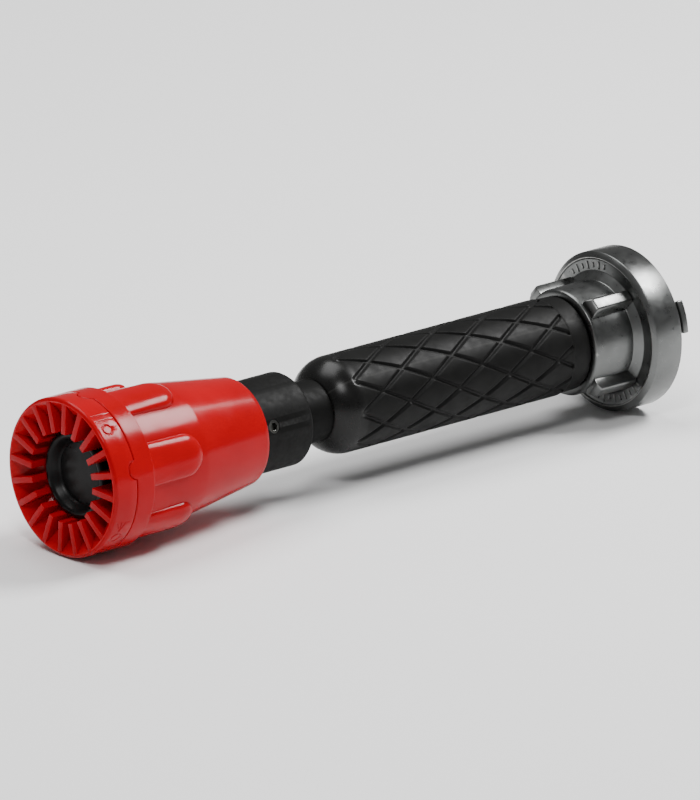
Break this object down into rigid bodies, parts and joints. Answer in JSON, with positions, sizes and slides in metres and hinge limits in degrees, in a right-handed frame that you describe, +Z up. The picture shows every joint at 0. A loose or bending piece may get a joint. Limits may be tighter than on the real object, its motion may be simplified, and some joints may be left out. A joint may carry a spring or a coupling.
{
  "type": "fire hose nozzle",
  "caption": "Hand-held fire hose nozzle: clawed Storz coupling ring, rubber grip on a straight barrel, and a ribbed twist head that shuts, jets or sprays.",
  "frame": {"origin": "centre of the Storz coupling's mating face, on the waterway's axis", "axes": "+X along the waterway, the way the water leaves; +Z up; +Y to the left of someone aiming along +X"},
  "size_m": [0.2583, 0.055, 0.055],
  "materials": {
    "barrel_aluminium": "black anodised tube",
    "coupling_aluminium": "satin forged aluminium",
    "black_gasket_rubber": "matte moulded rubber",
    "white_bearing_plastic": "plain acetal",
    "spring_steel": "oiled spring steel",
    "grip_rubber": "semi-matte moulded rubber with diamond grooves",
    "black_anodised": "satin black anodised aluminium",
    "screw_steel": "zinc plated steel",
    "stainless_steel": "turned stainless steel",
    "baffle_plastic": "semi-gloss moulded plastic",
    "sleeve_aluminium": "turned aluminium",
    "red_plastic": "glossy moulded plastic",
    "bearing_brass": "turned brass"
  },
  "bodies": {
    "barrel": {"barrel_tube": "barrel_aluminium", "inlet_tail": "coupling_aluminium", "inlet_gasket": "black_gasket_rubber", "swivel_washer": "white_bearing_plastic", "coupling_snap_ring": "spring_steel", "grip_sleeve": "grip_rubber", "valve_body": "black_anodised", "collar_set_screw": "screw_steel", "guide_key": "screw_steel", "stem_spider": "stainless_steel", "stem_bolt": "stainless_steel", "stem_spacer": "stainless_steel", "stem_nut": "stainless_steel", "baffle_disc": "baffle_plastic", "baffle_seal": "black_gasket_rubber", "baffle_cap": "baffle_plastic", "tail_o_ring": "black_gasket_rubber", "neck_o_ring": "black_gasket_rubber"},
    "coupling_ring": {"claw_ring": "coupling_aluminium"},
    "sleeve": {"valve_sleeve": "sleeve_aluminium", "seat_ring": "stainless_steel", "sleeve_o_ring": "black_gasket_rubber"},
    "head": {"head_shell": "red_plastic", "front_ring": "red_plastic", "cam_bush": "bearing_brass", "head_retainer": "bearing_brass", "head_wiper": "black_gasket_rubber"}
  },
  "joints": [
    {"name": "coupling_swivel", "type": "hinge", "parent": "barrel", "child": "coupling_ring", "pos_m": [0.015, 0, 0], "axis": [1, 0, 0], "continuous": true},
    {"name": "sleeve_travel", "type": "slide", "parent": "barrel", "child": "sleeve", "axis": [1, 0, 0], "range_m": [-0.0018, 0.008]},
    {"name": "head_turn", "type": "hinge", "parent": "sleeve", "child": "head", "pos_m": [0.2, 0, 0], "axis": [1, 0, 0], "range_deg": [-32.4, 144]}
  ],
  "couplings": [
    {"joint": "sleeve_travel", "follows": "head_turn", "m_per_rad": 0.0031831}
  ]
}
